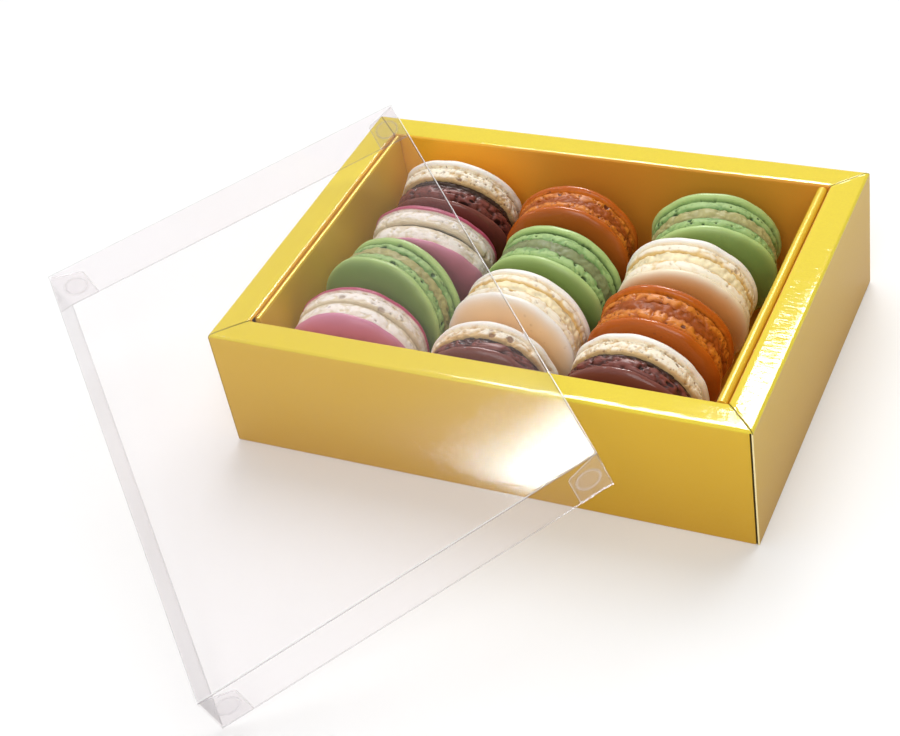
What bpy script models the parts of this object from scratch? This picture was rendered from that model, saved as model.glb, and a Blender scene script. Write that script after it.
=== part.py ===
"""Open gift box of twelve macarons with its clear lid leaning on it.

World frame: metres, +Z up. X runs along the box's front edge, Y from its front
to its back, and the origin is the middle of the box's underside.
"""

from math import cos, pi, radians, sin

import bmesh
import bpy
import numpy as np
from mathutils import Euler, Vector

MM = 0.001

# Space kept between neighbouring pieces
GAP = 0.3 * MM

# Gold card tray
TRAY_LENGTH = 180.0 * MM
TRAY_DEPTH = 128.9 * MM
TRAY_HEIGHT = 45.8 * MM
RIM_WIDTH = 10.4 * MM
TRAY_FLOOR = 1.0 * MM
OUTER_FOLD_RADIUS = 0.9 * MM
INNER_FOLD_RADIUS = 0.7 * MM
BOTTOM_FOLD_RADIUS = 0.5 * MM
FOLD_STEPS = 3

# Cuts that show in the tray's corners
MITRE_CUT_WIDTH = 0.4 * MM
FRONT_MITRE_DEPTH = 0.4 * MM
BACK_MITRE_DEPTH = 0.15 * MM
SEAM_WIDTH = 0.6 * MM
SEAM_DEPTH = 0.9 * MM
SEAM_FROM_CORNER = 0.5 * MM
SEAM_BELOW_RIM = 0.6 * MM

# Folded card strips that stand inside the two short sides
RIGHT_STRIP_THICKNESS = 3.2 * MM
LEFT_STRIP_THICKNESS = 1.7 * MM
STRIP_SLOT = 0.7 * MM
STRIP_BELOW_RIM = 0.3 * MM
RIGHT_STRIP_END_GAP = 0.4 * MM
LEFT_STRIP_FRONT_GAP = 1.7 * MM
STRIP_FOLD_STEPS = 6

# Clear lid: a shallow folded tray, open side down
LID_WIDTH = 130.5 * MM
LID_LENGTH = 181.6 * MM
LID_WALL = 16.0 * MM
LID_SHEET = 0.4 * MM
LID_TWIST = 4.8 * MM
LID_CELLS = 8
LID_CENTRE = (-52.0 * MM, -72.1 * MM, 48.05 * MM)
LID_TURN_DEGREES = (7.0, -15.15, 42.1)
TAB_LENGTH = 10.3 * MM
TAB_THICKNESS = 0.35 * MM
TAB_SLOPE = 3.2 * MM
TAB_ROUND = 2.0 * MM
TAB_ROUND_STEPS = 4
TAB_SINK = 0.15 * MM

# Macaron shells, shared by all
SEGMENTS = 24
DOME_EXPONENT = 2.6
DOME_STEPS = (0.95, 0.78, 0.45)
FACE_RATIO = 0.93
RUFFLE_PLACES = (0.3, 0.68)
RUFFLE_DEPTH = 0.035
RUFFLE_SHIFT = 0.3 * MM
WAIST_RATIO = 0.962
WAIST_SET_BACK = 0.1 * MM
LIP_RATIO = 0.995
LIP_RISE = 0.4 * MM
OUTLINE_SWING = 0.012
FILLING_EDGE_RATIO = 0.975

# Colours as seen in soft daylight
GOLD = (0.72, 0.50, 0.10)
CLEAR = (0.93, 0.93, 0.92)
CREAM = (0.84, 0.74, 0.56)
GREEN = (0.22, 0.36, 0.15)
ORANGE = (0.55, 0.15, 0.025)
BROWN = (0.11, 0.035, 0.028)
PINK = (0.48, 0.16, 0.24)
BEIGE = (0.42, 0.37, 0.24)
BUTTER = (0.76, 0.52, 0.22)
CARAMEL = (0.40, 0.10, 0.02)
DARK = (0.05, 0.025, 0.02)
OLIVE = (0.32, 0.33, 0.18)


def clear_scene():
    """Remove every object that the scene holds at the start."""
    for item in list(bpy.data.objects):
        bpy.data.objects.remove(item, do_unlink=True)


def finish(name, colour, roughness, alpha=1.0):
    """Make one Principled material."""
    material = bpy.data.materials.new(name)
    material.use_nodes = True
    surface = material.node_tree.nodes["Principled BSDF"]
    surface.inputs["Base Color"].default_value = (*colour, 1.0)
    surface.inputs["Roughness"].default_value = roughness
    surface.inputs["Metallic"].default_value = 0.0
    surface.inputs["Alpha"].default_value = alpha
    return material


def add_object(name, bm, material, parent=None, smooth=None):
    """Turn a bmesh into a named object, smooth below the given edge angle."""
    bmesh.ops.recalc_face_normals(bm, faces=bm.faces)
    mesh = bpy.data.meshes.new(name)
    bm.to_mesh(mesh)
    bm.free()
    if smooth is not None:
        mesh.shade_smooth()
        mesh.set_sharp_from_angle(angle=radians(smooth))
    mesh.materials.append(material)
    item = bpy.data.objects.new(name, mesh)
    bpy.context.collection.objects.link(item)
    item.parent = parent
    return item


def skin_rings(bm, rings):
    """Join neighbouring rings of vertices with four-sided faces."""
    for near, far in zip(rings, rings[1:]):
        size = len(near)
        for k in range(size):
            m = (k + 1) % size
            bm.faces.new((near[k], near[m], far[m], far[k]))


def add_cutter(name, bm, target):
    """Make a hidden cutting solid and subtract it from the target."""
    bmesh.ops.recalc_face_normals(bm, faces=bm.faces)
    mesh = bpy.data.meshes.new(name)
    bm.to_mesh(mesh)
    bm.free()
    cutter = bpy.data.objects.new(name, mesh)
    bpy.context.collection.objects.link(cutter)
    cutter.hide_render = True
    cutter.display_type = "WIRE"
    cut = target.modifiers.new(name, "BOOLEAN")
    cut.operation = "DIFFERENCE"
    cut.object = cutter
    return cutter


def block(low, high):
    """Return a bmesh box between two corners."""
    bm = bmesh.new()
    bmesh.ops.create_cube(bm, size=1.0)
    centre = (Vector(low) + Vector(high)) / 2
    size = Vector(high) - Vector(low)
    bmesh.ops.scale(bm, vec=size, verts=bm.verts)
    bmesh.ops.translate(bm, vec=centre, verts=bm.verts)
    return bm


def tray_profile():
    """Return the wall's section as (inset, height) pairs, outside bottom to floor."""
    points = [(BOTTOM_FOLD_RADIUS, 0.0), (0.0, BOTTOM_FOLD_RADIUS)]
    for step in range(FOLD_STEPS + 1):
        angle = pi / 2 * step / FOLD_STEPS
        inset = OUTER_FOLD_RADIUS * (1 - cos(angle))
        height = TRAY_HEIGHT - OUTER_FOLD_RADIUS * (1 - sin(angle))
        points.append((inset, height))
    for step in range(FOLD_STEPS + 1):
        angle = pi / 2 * step / FOLD_STEPS
        inset = RIM_WIDTH - INNER_FOLD_RADIUS * (1 - sin(angle))
        height = TRAY_HEIGHT - INNER_FOLD_RADIUS * (1 - cos(angle))
        points.append((inset, height))
    points.append((RIM_WIDTH, TRAY_FLOOR))
    return points


def make_tray():
    """Sweep the wall's section round the rectangle and close floor and underside."""
    bm = bmesh.new()
    rings = []
    for inset, height in tray_profile():
        half_x = TRAY_LENGTH / 2 - inset
        half_y = TRAY_DEPTH / 2 - inset
        corners = ((-half_x, -half_y), (half_x, -half_y), (half_x, half_y), (-half_x, half_y))
        rings.append([bm.verts.new((x, y, height)) for x, y in corners])
    skin_rings(bm, rings)
    bm.faces.new(rings[0])
    bm.faces.new(rings[-1])
    tray = add_object("box_tray", bm, finish("gold card tray", GOLD, 0.3))
    for sign_x in (-1, 1):
        for sign_y in (-1, 1):
            cut_mitre(tray, sign_x, sign_y)
    cut_seam(tray)
    return tray


def cut_mitre(tray, sign_x, sign_y):
    """Cut the thin line where two rims meet at a corner."""
    depth = FRONT_MITRE_DEPTH if sign_y < 0 else BACK_MITRE_DEPTH
    reach = RIM_WIDTH * 2 ** 0.5
    start = (-INNER_FOLD_RADIUS, -MITRE_CUT_WIDTH / 2, TRAY_HEIGHT - depth)
    end = (reach + INNER_FOLD_RADIUS, MITRE_CUT_WIDTH / 2, TRAY_HEIGHT + depth)
    bm = block(start, end)
    place = Euler((0.0, 0.0, np.arctan2(-sign_y, -sign_x))).to_matrix().to_4x4()
    place.translation = (sign_x * TRAY_LENGTH / 2, sign_y * TRAY_DEPTH / 2, 0.0)
    bmesh.ops.transform(bm, matrix=place, verts=bm.verts)
    side = "front" if sign_y < 0 else "back"
    hand = "left" if sign_x < 0 else "right"
    add_cutter(f"mitre_{side}_{hand}", bm, tray)


def cut_seam(tray):
    """Cut the open joint of the card in the front face, beside the right corner."""
    right = TRAY_LENGTH / 2 - SEAM_FROM_CORNER
    front = -TRAY_DEPTH / 2
    low = (right - SEAM_WIDTH, front - MM, -MM)
    high = (right, front + SEAM_DEPTH, TRAY_HEIGHT - SEAM_BELOW_RIM)
    add_cutter("open_seam", block(low, high), tray)


def strip_section(thickness, height):
    """Return the strip's outline across the box: straight sides and a round top fold."""
    radius = thickness / 2
    points = [(-radius, 0.0)]
    for step in range(STRIP_FOLD_STEPS + 1):
        angle = pi * (1 - step / STRIP_FOLD_STEPS)
        points.append((radius * cos(angle), height - radius + radius * sin(angle)))
    points.append((radius, 0.0))
    return points


def make_strip(name, centre_x, thickness, front_y, back_y):
    """Extrude the folded strip along the short side of the box."""
    bm = bmesh.new()
    base = TRAY_FLOOR + GAP
    height = TRAY_HEIGHT - STRIP_BELOW_RIM - base
    rings = []
    for y in (front_y, back_y):
        rings.append([bm.verts.new((centre_x + x, y, base + z)) for x, z in strip_section(thickness, height)])
    skin_rings(bm, rings)
    bm.faces.new(rings[0])
    bm.faces.new(rings[1])
    return add_object(name, bm, finish(f"gold card {name}", GOLD, 0.3), smooth=40)


def make_strips():
    """Stand a strip inside each short side, a slot away from the wall."""
    inner_x = TRAY_LENGTH / 2 - RIM_WIDTH
    inner_y = TRAY_DEPTH / 2 - RIM_WIDTH
    right_x = inner_x - STRIP_SLOT - RIGHT_STRIP_THICKNESS / 2
    left_x = -inner_x + STRIP_SLOT + LEFT_STRIP_THICKNESS / 2
    right_ends = (-inner_y + RIGHT_STRIP_END_GAP, inner_y - RIGHT_STRIP_END_GAP)
    left_ends = (-inner_y + LEFT_STRIP_FRONT_GAP, inner_y - RIGHT_STRIP_END_GAP)
    make_strip("right_inner_strip", right_x, RIGHT_STRIP_THICKNESS, *right_ends)
    make_strip("left_inner_strip", left_x, LEFT_STRIP_THICKNESS, *left_ends)


def twist(x, y):
    """Height that the lid's sprung panel gains at a point."""
    return -LID_TWIST * (x / (LID_WIDTH / 2)) * (y / (LID_LENGTH / 2))


def lid_sheet(bm, inset, drop):
    """Add one grid of the panel, set in and lowered, and return its rows."""
    rows = []
    for j in range(LID_CELLS + 1):
        y = (2 * j / LID_CELLS - 1) * (LID_LENGTH / 2 - inset)
        row = []
        for i in range(LID_CELLS + 1):
            x = (2 * i / LID_CELLS - 1) * (LID_WIDTH / 2 - inset)
            row.append(bm.verts.new((x, y, twist(x, y) - drop)))
        rows.append(row)
    for j in range(LID_CELLS):
        for i in range(LID_CELLS):
            corners = (rows[j][i], rows[j][i + 1], rows[j + 1][i + 1], rows[j + 1][i])
            bm.faces.new(corners)
    return rows


def border(rows):
    """List the vertices round the edge of a grid in order."""
    last = LID_CELLS
    front = [rows[0][i] for i in range(last)]
    right = [rows[j][last] for j in range(last)]
    back = [rows[last][i] for i in range(last, 0, -1)]
    left = [rows[j][0] for j in range(last, 0, -1)]
    return front + right + back + left


def add_tab(name, lid, sign_x, sign_y):
    """Join one glue tab to the inside of a short wall of the lid."""
    bm = bmesh.new()
    foot = -LID_WALL
    top = -LID_SHEET - TAB_SINK
    start = LID_WIDTH / 2 - LID_SHEET + TAB_SINK
    end = LID_WIDTH / 2 - TAB_LENGTH
    bend_height = top - TAB_SLOPE * (1 - TAB_ROUND / TAB_LENGTH)
    outline = [(start, foot), (start, top), (end + TAB_ROUND, bend_height)]
    for step in range(TAB_ROUND_STEPS + 1):
        angle = pi / 2 * step / TAB_ROUND_STEPS
        x = end + TAB_ROUND * (1 - sin(angle))
        z = top - TAB_SLOPE - TAB_ROUND * (1 - cos(angle))
        outline.append((x, z))
    outline.append((end, foot))
    wall_inner = LID_LENGTH / 2 - LID_SHEET
    rings = []
    for y in (wall_inner + TAB_SINK, wall_inner - TAB_THICKNESS):
        ring = []
        for x, z in outline:
            lift = twist(sign_x * x, sign_y * y)
            ring.append(bm.verts.new((sign_x * x, sign_y * y, z + lift)))
        rings.append(ring)
    skin_rings(bm, rings)
    bm.faces.new(rings[0])
    bm.faces.new(rings[1])
    tab = add_cutter(name, bm, lid)
    tab.parent = lid
    lid.modifiers[name].operation = "UNION"


def make_lid():
    """Fold the lid's panel and walls from one clear sheet and lean it on the box."""
    bm = bmesh.new()
    outer = border(lid_sheet(bm, 0.0, 0.0))
    inner = border(lid_sheet(bm, LID_SHEET, LID_SHEET))
    outer_low = [bm.verts.new(v.co - Vector((0.0, 0.0, LID_WALL))) for v in outer]
    inner_low = []
    for v in inner:
        foot = twist(v.co.x, v.co.y) - LID_WALL
        inner_low.append(bm.verts.new((v.co.x, v.co.y, foot)))
    skin_rings(bm, [outer, outer_low, inner_low, inner])
    lid = add_object("clear_lid", bm, finish("clear film", CLEAR, 0.05, alpha=0.3))
    for sign_x in (-1, 1):
        for sign_y in (-1, 1):
            hand = "left" if sign_x < 0 else "right"
            side = "front" if sign_y < 0 else "back"
            add_tab(f"tab_{side}_{hand}", lid, sign_x, sign_y)
    lid.location = LID_CENTRE
    lid.rotation_euler = Euler([radians(angle) for angle in LID_TURN_DEGREES])
    return lid


def outline_factor(angle, phase):
    """Slightly uneven outline, never above 1."""
    wave = 0.5 + 0.3 * cos(2 * angle + phase) + 0.2 * cos(3 * angle - 2 * phase)
    return 1 - OUTLINE_SWING * max(0.0, wave)


def shell_rings(radius, face, base, dome, seed):
    """Return one shell's rings of (angle, distance along the axis, radius) points."""
    random = np.random.default_rng(seed)
    phase = random.uniform(0, 2 * pi)
    angles = [2 * pi * k / SEGMENTS for k in range(SEGMENTS)]
    foot = base - face
    rings = [[(a, face, radius * FACE_RATIO) for a in angles]]
    for share in RUFFLE_PLACES:
        ring = []
        for a in angles:
            ruffle = radius * (1 - RUFFLE_DEPTH * random.uniform(0, 1))
            shift = RUFFLE_SHIFT * random.uniform(-1, 1)
            ring.append((a, face + foot * share + shift, ruffle * outline_factor(a, phase)))
        rings.append(ring)
    rings.append([(a, base - WAIST_SET_BACK, radius * WAIST_RATIO) for a in angles])
    rings.append([(a, base + LIP_RISE, radius * LIP_RATIO * outline_factor(a, phase)) for a in angles])
    for ratio in DOME_STEPS:
        height = dome * (1 - ratio ** DOME_EXPONENT) ** 0.5
        rings.append([(a, base + height, radius * ratio * outline_factor(a, phase)) for a in angles])
    return rings


def turned_solid(rings, direction, peak):
    """Skin rings round the Y axis, closed with a flat face and a low peak."""
    bm = bmesh.new()
    loops = []
    for ring in rings:
        loop = []
        for angle, along, reach in ring:
            loop.append(bm.verts.new((reach * cos(angle), direction * along, reach * sin(angle))))
        loops.append(loop)
    skin_rings(bm, loops)
    for loop, along in ((loops[0], rings[0][0][1]), (loops[-1], peak)):
        centre = bm.verts.new((0.0, direction * along, 0.0))
        for k in range(SEGMENTS):
            bm.faces.new((loop[k], loop[(k + 1) % SEGMENTS], centre))
    return bm


def make_macaron(number, x, y, yaw, lean, radius, foot, base, dome, colours, filling_ratio=0.95):
    """Stand one macaron on its edge in the box.

    x, y       middle of the macaron in millimetres
    yaw, lean  turn about the vertical, and tilt of its front face upwards, in degrees
    radius     of the shells; foot is the height of each ruffled foot
    base       from the middle of the filling to the foot of each dome
    dome       height of each dome, all in millimetres
    """
    back_colour, filling_colour, front_colour = colours
    prefix = f"macaron_{number:02d}"
    holder = bpy.data.objects.new(prefix, None)
    bpy.context.collection.objects.link(holder)
    radius *= MM
    face = (base - foot) * MM
    base *= MM
    dome *= MM
    pieces = []
    shells = (("back_shell", 1, back_colour, 0), ("front_shell", -1, front_colour, 50))
    for name, direction, colour, salt in shells:
        rings = shell_rings(radius, face, base, dome, number + salt)
        bm = turned_solid(rings, direction, base + dome)
        material = finish(f"{prefix} {name}", colour, 0.6)
        pieces.append(add_object(f"{prefix}_{name}", bm, material, holder, smooth=60))
    half = face - GAP
    bulge = radius * filling_ratio
    edge = bulge * FILLING_EDGE_RATIO
    angles = [2 * pi * k / SEGMENTS for k in range(SEGMENTS)]
    rings = []
    for along, reach in ((-half, edge), (0.0, bulge), (half, edge)):
        rings.append([(a, along, reach) for a in angles])
    bm = turned_solid(rings, 1, half)
    material = finish(f"{prefix} filling", filling_colour, 0.55)
    pieces.append(add_object(f"{prefix}_filling", bm, material, holder, smooth=60))
    holder.rotation_euler = Euler((radians(-lean), 0.0, radians(yaw)))
    turn = holder.rotation_euler.to_matrix()
    lowest = min((turn @ v.co).z for piece in pieces for v in piece.data.vertices)
    holder.location = (x * MM, y * MM, TRAY_FLOOR + GAP - lowest)
    return holder


def make_macarons():
    """Stand three rows of four macarons from back to front."""
    make_macaron(1, x=-50.3, y=37.6, yaw=2.5, lean=-18, radius=22.4, foot=5.7, base=7.0, dome=5.5,
                 colours=(CREAM, DARK, BROWN), filling_ratio=0.92)
    make_macaron(2, x=-49.7, y=12.4, yaw=5, lean=-16.5, radius=22.5, foot=5.0, base=5.9, dome=5.4,
                 colours=(PINK, DARK, PINK), filling_ratio=0.9)
    make_macaron(3, x=-51.2, y=-14.1, yaw=-6.5, lean=6.8, radius=23.2, foot=3.0, base=5.3, dome=5.5,
                 colours=(GREEN, BEIGE, GREEN))
    make_macaron(4, x=-52.5, y=-38.9, yaw=7.5, lean=-0.5, radius=23.1, foot=5.1, base=6.0, dome=5.7,
                 colours=(PINK, DARK, PINK), filling_ratio=0.9)
    make_macaron(5, x=-4.0, y=31.0, yaw=5, lean=0.5, radius=22.3, foot=2.6, base=4.6, dome=5.6,
                 colours=(ORANGE, CARAMEL, ORANGE))
    make_macaron(6, x=-2.0, y=7.7, yaw=-1.5, lean=-3.5, radius=22.1, foot=3.6, base=6.3, dome=5.8,
                 colours=(GREEN, OLIVE, GREEN))
    make_macaron(7, x=-3.4, y=-17.8, yaw=-2, lean=2, radius=22.7, foot=3.0, base=5.4, dome=5.8,
                 colours=(CREAM, BUTTER, CREAM))
    make_macaron(8, x=-4.0, y=-42.3, yaw=6, lean=0.5, radius=22.0, foot=4.3, base=5.1, dome=5.6,
                 colours=(CREAM, DARK, BROWN), filling_ratio=0.92)
    make_macaron(9, x=44.5, y=36.5, yaw=11, lean=-9, radius=22.4, foot=3.6, base=6.0, dome=5.8,
                 colours=(GREEN, BEIGE, GREEN))
    make_macaron(10, x=43.4, y=11.2, yaw=4, lean=-7.5, radius=22.5, foot=3.4, base=6.0, dome=5.8,
                 colours=(CREAM, BUTTER, CREAM))
    make_macaron(11, x=43.4, y=-14.4, yaw=-0.5, lean=-7, radius=22.7, foot=3.2, base=5.6, dome=5.8,
                 colours=(ORANGE, CARAMEL, ORANGE))
    make_macaron(12, x=43.0, y=-38.3, yaw=0, lean=-5.5, radius=22.5, foot=5.2, base=6.1, dome=5.8,
                 colours=(CREAM, DARK, BROWN), filling_ratio=0.92)


def main():
    clear_scene()
    make_tray()
    make_strips()
    make_macarons()
    make_lid()


main()
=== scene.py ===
"""Looks of an open gold card box of macarons with its clear lid leaning on it."""

import math

import bpy
import numpy as np
from bpy.props import FloatProperty, FloatVectorProperty, IntProperty, PointerProperty
from mathutils import Euler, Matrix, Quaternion, Vector


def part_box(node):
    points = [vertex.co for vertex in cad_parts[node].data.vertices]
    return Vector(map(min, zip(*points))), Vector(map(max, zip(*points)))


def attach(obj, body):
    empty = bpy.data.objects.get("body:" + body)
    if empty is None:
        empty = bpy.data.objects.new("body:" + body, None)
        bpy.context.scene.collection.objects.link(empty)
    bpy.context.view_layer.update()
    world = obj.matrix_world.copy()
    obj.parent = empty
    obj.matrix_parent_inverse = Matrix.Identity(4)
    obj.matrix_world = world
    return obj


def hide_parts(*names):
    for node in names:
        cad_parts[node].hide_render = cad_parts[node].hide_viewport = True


bl_info = {
    "name": "Macaron box",
    "version": (1, 0, 0),
    "blender": (4, 5, 0),
    "location": "3D View > Sidebar > Macaron box",
    "description": "Builds a card box of macarons with its clear lid, a floor, lights and a camera",
    "category": "Object",
}

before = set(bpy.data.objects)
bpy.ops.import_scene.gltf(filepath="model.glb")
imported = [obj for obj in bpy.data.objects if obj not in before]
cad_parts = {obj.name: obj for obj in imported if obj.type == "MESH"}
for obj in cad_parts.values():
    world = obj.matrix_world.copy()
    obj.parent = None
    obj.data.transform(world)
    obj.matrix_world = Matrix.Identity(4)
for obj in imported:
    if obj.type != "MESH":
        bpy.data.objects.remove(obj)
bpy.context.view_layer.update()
MM = 0.001
BODY = "root"

# Sizes of the tray that the frame's own boxes give
TRAY_LOW, TRAY_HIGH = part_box("box_tray")
TRAY_HALF_X = (TRAY_HIGH.x - TRAY_LOW.x) / 2
TRAY_HALF_Y = (TRAY_HIGH.y - TRAY_LOW.y) / 2
TRAY_TOP = TRAY_HIGH.z

# The photograph's frame and its camera
PICTURE_WIDTH = 900
FOCAL_PIXELS = 1808.2
SENSOR_WIDTH = 36.0
CAMERA_PLACE = (0.21426, -0.41865, 0.39479)
CAMERA_AIM = (-0.02212, -0.03356, 0.02)
CAMERA_ROLL = math.radians(-11.396)


# Smooth random values

# Whole numbers that mix the bits of a cell and a seed
CELL_PRIMES = [np.uint64(prime) for prime in (73856093, 19349663, 83492791)]
SEED_PRIME = 2654435761
BIT_MIXER = np.uint64(0x45D9F3B)
LOW_32_BITS = np.uint64(0xFFFFFFFF)
# Moves every cell number above zero
CELL_SHIFT = 1000.0


def cell_values(cells, seed):
    """Give every whole-number cell a random value from 0 to 1 by mixing its bits."""
    x, y, z = (cells[..., i].astype(np.uint64) * CELL_PRIMES[i] for i in range(3))
    mixed = ((x ^ y ^ z) + np.uint64(seed * SEED_PRIME % (1 << 32))) & LOW_32_BITS
    for shift in (16, 15, 16):
        mixed = (mixed ^ (mixed >> np.uint64(shift))) * BIT_MIXER & LOW_32_BITS
    return (mixed >> np.uint64(8)).astype(float) / float(1 << 24)


def lattice(points, size, seed):
    """Value noise from 0 to 1: cell values blended over the eight corners of each cell."""
    scaled = points / size + CELL_SHIFT
    whole = np.floor(scaled)
    part = scaled - whole
    ease = part * part * (3 - 2 * part)
    cells = whole.astype(np.int64)
    total = np.zeros(points.shape[:-1])
    for corner in range(8):
        step = np.array([corner & 1, corner >> 1 & 1, corner >> 2 & 1])
        weight = np.prod(np.where(step == 1, ease, 1 - ease), axis=-1)
        total += weight * cell_values(cells + step, seed)
    return total


TURNED = np.array(Euler((0.6, 0.9, 0.4)).to_matrix())


def lumps(points, size, seed):
    """Smooth noise about 0.5: two lattices turned against each other, averaged and stretched."""
    both = lattice(points, size, seed) + lattice(points @ TURNED, size * 0.93, seed + 77)
    return 0.5 + (both / 2 - 0.5) * 1.35


def popcorn(points, size, seed):
    """Rounded lumps between sharp creases, from 0 in a crease to about 1."""
    return np.abs(2 * lumps(points, size, seed) - 1) ** 0.8 * 1.5


def holes(points, size, share, seed):
    """Round holes at random places, 1 in their middle; share is the part of cells that has one."""
    scaled = points / size + CELL_SHIFT
    whole = np.floor(scaled).astype(np.int64)
    deepest = np.zeros(points.shape[:-1])
    for near in range(9):
        cell = whole + np.array([near % 3 - 1, near // 3 - 1, 0])
        spot = np.stack([cell_values(cell, seed + 1), cell_values(cell, seed + 2)], -1)
        reach = 0.12 + 0.36 * cell_values(cell, seed + 3) ** 2
        away = np.hypot(*(np.moveaxis(scaled[..., :2] - cell[..., :2] - spot, -1, 0)))
        hole = smooth_step(1.0, 0.55, away / reach) * (cell_values(cell, seed + 4) < share)
        deepest = np.maximum(deepest, hole)
    return deepest


def smooth_step(low, high, values):
    """Rise from 0 at low to 1 at high along a cubic."""
    t = np.clip((values - low) / (high - low), 0, 1)
    return t * t * (3 - 2 * t)


# Meshes from grids

def signed_volume(points, quads, triangles):
    """Sum of the signed tetrahedra between the origin and each face."""
    faces = np.concatenate([triangles, quads[:, [0, 1, 2]], quads[:, [0, 2, 3]]])
    a, b, c = (points[faces[:, i]] for i in range(3))
    return np.einsum("ij,ij->i", a, np.cross(b, c)).sum() / 6


def loft(rows, first=None, last=None):
    """Join closed rows of equal length into a tube, and close its ends with fans.

    The middle of a fan is the mean of its row, unless a point is given for it.
    """
    count, width = rows.shape[:2]
    index = np.arange(count * width).reshape(count, width)
    near, far = index[:-1], index[1:]
    quads = np.stack([near, np.roll(near, -1, 1), np.roll(far, -1, 1), far], -1).reshape(-1, 4)
    first = rows[0].mean(0) if first is None else first
    last = rows[-1].mean(0) if last is None else last
    points = np.concatenate([rows.reshape(-1, 3), [first, last]])
    fans = []
    for ring, apex, turn in ((index[0], index.size, -1), (index[-1], index.size + 1, 1)):
        fans.append(np.stack([ring, np.roll(ring, -1), np.full(width, apex)], -1)[:, ::turn])
    return points, quads, np.concatenate(fans)


def rectangle(along_x, along_y, half_x, half_y):
    """Go round a rectangle, with points at shares from -1 to 1 of its sides along x and along y."""
    full_x, full_y = np.ones_like(along_x), np.ones_like(along_y)
    x = np.concatenate([along_x, full_y, -along_x, -full_y]) * half_x
    y = np.concatenate([-full_x, along_y, full_x, -along_y]) * half_y
    return np.column_stack([x, y])


def solid_mesh(name, rows, marks=None, smooth_angle=None, first=None, last=None):
    """Close rows into one mesh, turn its faces outwards and store the marks.

    A mark holds the values of the rows' points and of the first and last fans' middles.
    """
    points, quads, triangles = loft(rows, first, last)
    if signed_volume(points, quads, triangles) < 0:
        quads = quads[:, ::-1]
        triangles = triangles[:, ::-1]
    mesh = bpy.data.meshes.new(name)
    mesh.vertices.add(len(points))
    mesh.vertices.foreach_set("co", points.astype(np.float32).ravel())
    corners = np.concatenate([quads.ravel(), triangles.ravel()]).astype(np.int32)
    mesh.loops.add(len(corners))
    mesh.loops.foreach_set("vertex_index", corners)
    starts = np.concatenate([np.arange(len(quads)) * 4, len(quads) * 4 + np.arange(len(triangles)) * 3])
    mesh.polygons.add(len(starts))
    mesh.polygons.foreach_set("loop_start", starts.astype(np.int32))
    mesh.update(calc_edges=True)
    for mark, (values, at_first, at_last) in (marks or {}).items():
        values = np.append(np.ravel(values), [at_first, at_last])
        layer = mesh.attributes.new(mark, "FLOAT", "POINT")
        layer.data.foreach_set("value", values.astype(np.float32))
    mesh.validate()
    mesh.shade_smooth()
    if smooth_angle is not None:
        mesh.set_sharp_from_angle(angle=math.radians(smooth_angle))
    return mesh


def add_piece(name, mesh, material, replaces=()):
    """Put a finished mesh into the scene as a piece that rides on the box."""
    piece = bpy.data.objects.new(name, mesh)
    bpy.context.scene.collection.objects.link(piece)
    mesh.materials.append(material)
    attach(piece, BODY)
    if replaces:
        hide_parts(*replaces)
    return piece


# Shader expressions

class Wire:
    """One output socket of a material's nodes, for sums, differences, products and powers."""

    def __init__(self, paint, socket):
        self.paint = paint
        self.socket = socket

    def __add__(self, other):
        return self.paint.math("ADD", self, other)

    __radd__ = __add__

    def __mul__(self, other):
        return self.paint.math("MULTIPLY", self, other)

    __rmul__ = __mul__

    def __sub__(self, other):
        return self.paint.math("SUBTRACT", self, other)

    def __rsub__(self, other):
        return self.paint.math("SUBTRACT", other, self)

    def __pow__(self, other):
        return self.paint.math("POWER", self, other)


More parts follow.
